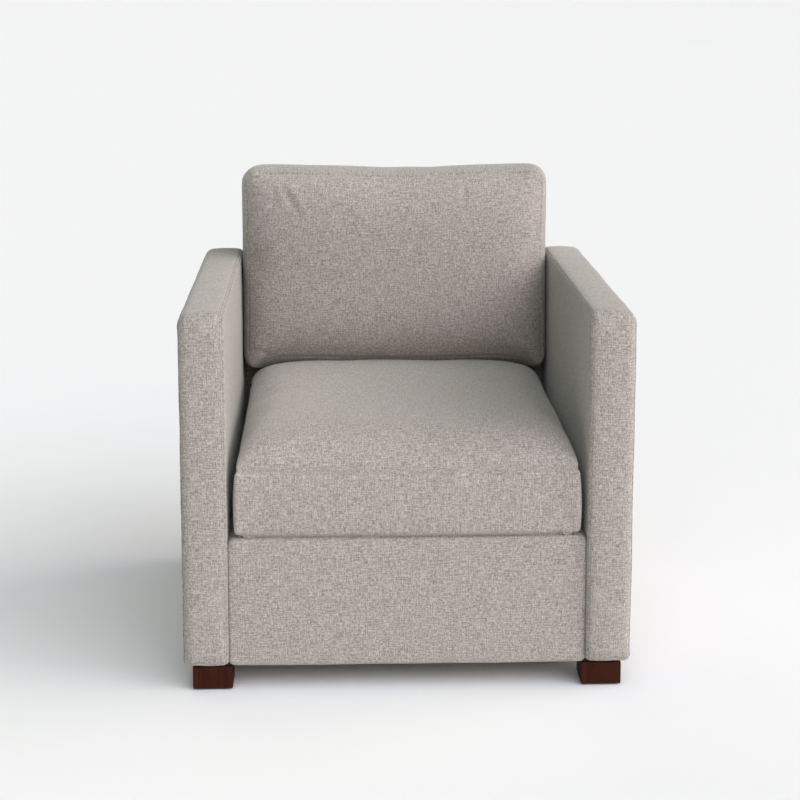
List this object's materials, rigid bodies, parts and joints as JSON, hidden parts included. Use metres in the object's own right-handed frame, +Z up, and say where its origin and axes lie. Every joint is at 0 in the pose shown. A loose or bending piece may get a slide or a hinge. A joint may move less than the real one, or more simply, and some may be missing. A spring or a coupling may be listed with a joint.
{
  "type": "upholstered armchair",
  "caption": "Low track-arm upholstered armchair with a loose boxed seat cushion, a loose back cushion and short square wood block legs.",
  "frame": {"origin": "on the floor, under the middle of the chair's width and depth", "axes": "+X to the right as seen from in front, the front faces -Y, +Z up; left and right in node names are as seen from in front"},
  "size_m": [0.762, 0.786, 0.8264],
  "materials": {
    "upholstery": "oatmeal linen-look plain weave",
    "leg_wood": "espresso stain, satin",
    "frame_wood": "raw hardwood and plywood",
    "steel": "spring wire and hanger bolts, plain",
    "glide": "black nail-on floor glides",
    "deck_cloth": "plain deck cloth",
    "dust_cloth": "black non-woven dust cloth",
    "felt": "pressed insulator felt",
    "webbing": "woven elastic webbing",
    "foam": "polyurethane foam with fibre wrap",
    "fibre": "loose polyester fibre"
  },
  "bodies": {
    "chair_frame": {"back_band": "upholstery", "back_left_upright": "frame_wood", "back_lower_rail": "frame_wood", "back_right_upright": "frame_wood", "back_top_rail": "frame_wood", "back_webbing_1": "webbing", "back_webbing_2": "webbing", "dust_cover": "dust_cloth", "front_left_corner_block": "frame_wood", "front_left_glide": "glide", "front_left_leg": "leg_wood", "front_left_leg_bolt": "steel", "front_left_post": "frame_wood", "front_rail_cover": "upholstery", "front_right_corner_block": "frame_wood", "front_right_glide": "glide", "front_right_leg": "leg_wood", "front_right_leg_bolt": "steel", "front_right_post": "frame_wood", "front_seat_rail": "frame_wood", "inside_back_panel": "upholstery", "left_arm_band": "upholstery", "left_arm_inside_panel": "upholstery", "left_arm_outside_panel": "upholstery", "left_arm_top_rail": "frame_wood", "left_seat_rail": "frame_wood", "outside_back_panel": "upholstery", "rear_left_corner_block": "frame_wood", "rear_left_glide": "glide", "rear_left_leg": "leg_wood", "rear_left_leg_bolt": "steel", "rear_left_post": "frame_wood", "rear_right_corner_block": "frame_wood", "rear_right_glide": "glide", "rear_right_leg": "leg_wood", "rear_right_leg_bolt": "steel", "rear_right_post": "frame_wood", "rear_seat_rail": "frame_wood", "right_arm_band": "upholstery", "right_arm_inside_panel": "upholstery", "right_arm_outside_panel": "upholstery", "right_arm_top_rail": "frame_wood", "right_seat_rail": "frame_wood", "seat_deck": "deck_cloth", "seat_spring_1": "steel", "seat_spring_2": "steel", "seat_spring_3": "steel", "seat_spring_4": "steel", "seat_spring_5": "steel", "spring_pad": "felt"},
    "seat_cushion": {"seat_cushion_bottom_panel": "upholstery", "seat_cushion_boxing": "upholstery", "seat_cushion_foam": "foam", "seat_cushion_top_panel": "upholstery", "seat_cushion_zip_strip": "upholstery"},
    "back_cushion": {"back_cushion_bottom_panel": "upholstery", "back_cushion_boxing": "upholstery", "back_cushion_fill": "fibre", "back_cushion_top_panel": "upholstery", "back_cushion_zip_strip": "upholstery"}
  },
  "joints": [
    {"name": "seat_cushion_slide", "type": "slide", "parent": "chair_frame", "child": "seat_cushion", "axis": [0, -1, 0], "range_m": [0, 0.72]},
    {"name": "back_cushion_lift", "type": "slide", "parent": "chair_frame", "child": "back_cushion", "axis": [0, 0.0419, 0.9991], "range_m": [0, 0.42]}
  ]
}
